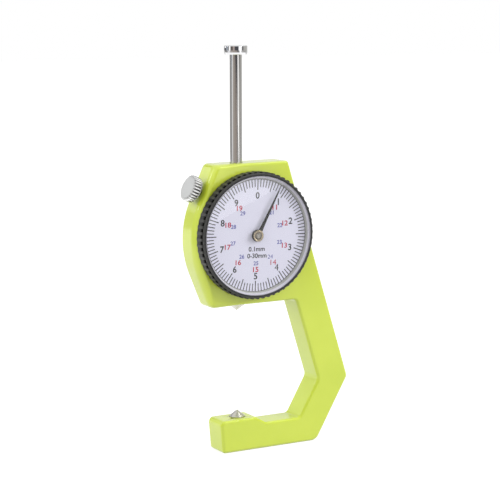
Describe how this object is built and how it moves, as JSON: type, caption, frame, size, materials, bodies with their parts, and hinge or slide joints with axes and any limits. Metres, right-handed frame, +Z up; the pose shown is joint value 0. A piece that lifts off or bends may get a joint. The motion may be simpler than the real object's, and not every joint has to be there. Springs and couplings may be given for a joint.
{
  "type": "dial thickness gauge",
  "caption": "Hand-held dial thickness gauge: C-shaped frame, sliding rod with conical tips, rack-driven pointer, turning ribbed bezel and a knurled lock screw.",
  "frame": {"origin": "on the foot's flat base, straight under the spindle's axis, half way through the frame's thickness", "axes": "+X to the right of someone who reads the dial, the dial faces -Y, +Z up along the spindle"},
  "size_m": [0.0554, 0.0139, 0.1231],
  "materials": {
    "green_paint": "yellow-green satin enamel on cast metal",
    "steel": "ground bright steel",
    "chrome": "satin chromed turned steel",
    "brass": "plain turned brass",
    "black_plastic": "black, half gloss, ribbed",
    "clear_window": "clear flat window",
    "white_ring": "white, smooth",
    "dial_enamel": "matt white enamel with printed graduations",
    "black_paint": "matt black",
    "pad_plastic": "hard nylon"
  },
  "bodies": {
    "frame": {"frame": "green_paint", "back_cover": "green_paint", "back_cover_screws": "steel", "upper_bush": "brass", "lower_bush": "brass", "anvil_tip": "steel", "front_bearing": "brass", "bridge": "brass", "bridge_screws": "steel", "rear_bearing": "brass", "hairspring": "steel", "hairspring_stud": "brass", "bezel_wire": "steel"},
    "spindle": {"spindle": "steel", "spindle_cap": "chrome", "spindle_tip": "steel", "guide_pin": "steel"},
    "pointer": {"pinion_arbor": "steel", "hairspring_collet": "brass", "pointer": "black_paint", "pointer_hub": "brass"},
    "bezel": {"bezel": "black_plastic", "dial_plate": "dial_enamel", "dial_ring": "white_ring", "crystal": "clear_window"},
    "lock_pad": {"lock_pad": "pad_plastic"},
    "lock_screw": {"lock_screw": "chrome"}
  },
  "joints": [
    {"name": "spindle_slide", "type": "slide", "parent": "frame", "child": "spindle", "axis": [0, 0, 1], "range_m": [-0.0308, 0]},
    {"name": "pointer_spin", "type": "hinge", "parent": "frame", "child": "pointer", "pos_m": [0.00318, 0, 0.06664], "axis": [0, 1, 0], "range_deg": [-1108.9, 0.1], "deforming": ["hairspring"]},
    {"name": "bezel_turn", "type": "hinge", "parent": "frame", "child": "bezel", "pos_m": [0.00318, 0, 0.06664], "axis": [0, 1, 0], "continuous": true},
    {"name": "lock_feed", "type": "slide", "parent": "frame", "child": "lock_pad", "axis": [-0.9117, 0, 0.4109], "range_m": [0, 0.0005]},
    {"name": "lock_turn", "type": "hinge", "parent": "lock_pad", "child": "lock_screw", "pos_m": [0, 0, 0.07419], "axis": [-0.9117, 0, 0.4109], "range_deg": [-0.5, 360.5]}
  ],
  "couplings": [
    {"joint": "pointer_spin", "follows": "spindle_slide", "rad_per_m": 628.32},
    {"joint": "lock_turn", "follows": "lock_feed", "rad_per_m": 12566}
  ]
}
